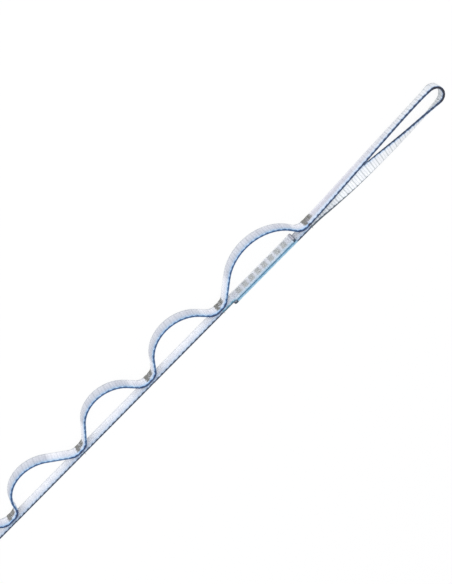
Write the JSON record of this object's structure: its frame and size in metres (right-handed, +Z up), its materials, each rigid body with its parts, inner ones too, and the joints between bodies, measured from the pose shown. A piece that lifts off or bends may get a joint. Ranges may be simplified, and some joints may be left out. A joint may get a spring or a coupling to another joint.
{
  "type": "climbing daisy chain",
  "caption": "Flat webbing chain: a straight spine and a bowed strand bar tacked into a row of clip-in pockets, with a long half-twisted loop at one end and a short loop at the other.",
  "frame": {"origin": "middle of the chain's box, on the surface that its lower webbing edge stands on", "axes": "+X along the chain to the tip of the long end loop, +Y to the side that the pockets bow to, +Z up across the webbing's width"},
  "size_m": [1.1228, 0.047, 0.0112],
  "materials": {
    "webbing": "flat woven white webbing with blue edges",
    "thread": "dense grey zigzag stitching"
  },
  "bodies": {
    "pocket_1": {"pocket_strand_1": "webbing", "spine_strand_1": "webbing", "splice_outer_strand": "webbing", "bar_tack_2": "thread", "splice_tack_1": "thread", "splice_tack_2": "thread", "splice_tack_3": "thread", "splice_tack_4": "thread", "splice_tack_5": "thread", "splice_tack_6": "thread", "splice_tack_7": "thread", "splice_tack_8": "thread"},
    "end_loop": {"end_loop_webbing": "webbing", "bar_tack_1": "thread"},
    "pocket_2": {"pocket_strand_2": "webbing", "spine_strand_2": "webbing", "bar_tack_3": "thread"},
    "pocket_3": {"pocket_strand_3": "webbing", "spine_strand_3": "webbing", "bar_tack_4": "thread"},
    "pocket_4": {"pocket_strand_4": "webbing", "spine_strand_4": "webbing", "bar_tack_5": "thread"},
    "pocket_5": {"pocket_strand_5": "webbing", "spine_strand_5": "webbing", "bar_tack_6": "thread"},
    "pocket_6": {"pocket_strand_6": "webbing", "spine_strand_6": "webbing", "bar_tack_7": "thread"},
    "pocket_7": {"pocket_strand_7": "webbing", "spine_strand_7": "webbing", "bar_tack_8": "thread"},
    "pocket_8": {"pocket_strand_8": "webbing", "spine_strand_8": "webbing", "bar_tack_9": "thread"},
    "pocket_9": {"pocket_strand_9": "webbing", "spine_strand_9": "webbing", "bar_tack_10": "thread"},
    "pocket_10": {"pocket_strand_10": "webbing", "spine_strand_10": "webbing", "bar_tack_11": "thread"},
    "far_loop": {"far_loop_webbing": "webbing"}
  },
  "joints": [
    {"name": "bend_at_tack_1", "type": "hinge", "parent": "pocket_1", "child": "end_loop", "pos_m": [0.39852, -0.01261, 0], "axis": [0, 0, 1], "range_deg": [-25, 25]},
    {"name": "bend_at_tack_2", "type": "hinge", "parent": "pocket_1", "child": "pocket_2", "pos_m": [0.29552, -0.00971, 0], "axis": [0, 0, -1], "range_deg": [-25, 25]},
    {"name": "bend_at_tack_3", "type": "hinge", "parent": "pocket_2", "child": "pocket_3", "pos_m": [0.20952, -0.00971, 0], "axis": [0, 0, -1], "range_deg": [-25, 25]},
    {"name": "bend_at_tack_4", "type": "hinge", "parent": "pocket_3", "child": "pocket_4", "pos_m": [0.12352, -0.00971, 0], "axis": [0, 0, -1], "range_deg": [-25, 25]},
    {"name": "bend_at_tack_5", "type": "hinge", "parent": "pocket_4", "child": "pocket_5", "pos_m": [0.03752, -0.00971, 0], "axis": [0, 0, -1], "range_deg": [-25, 25]},
    {"name": "bend_at_tack_6", "type": "hinge", "parent": "pocket_5", "child": "pocket_6", "pos_m": [-0.04848, -0.00971, 0], "axis": [0, 0, -1], "range_deg": [-25, 25]},
    {"name": "bend_at_tack_7", "type": "hinge", "parent": "pocket_6", "child": "pocket_7", "pos_m": [-0.13448, -0.00971, 0], "axis": [0, 0, -1], "range_deg": [-25, 25]},
    {"name": "bend_at_tack_8", "type": "hinge", "parent": "pocket_7", "child": "pocket_8", "pos_m": [-0.22048, -0.00971, 0], "axis": [0, 0, -1], "range_deg": [-25, 25]},
    {"name": "bend_at_tack_9", "type": "hinge", "parent": "pocket_8", "child": "pocket_9", "pos_m": [-0.30648, -0.00971, 0], "axis": [0, 0, -1], "range_deg": [-25, 25]},
    {"name": "bend_at_tack_10", "type": "hinge", "parent": "pocket_9", "child": "pocket_10", "pos_m": [-0.39248, -0.00971, 0], "axis": [0, 0, -1], "range_deg": [-25, 25]},
    {"name": "bend_at_tack_11", "type": "hinge", "parent": "pocket_10", "child": "far_loop", "pos_m": [-0.47848, -0.00971, 0], "axis": [0, 0, -1], "range_deg": [-25, 25]}
  ]
}
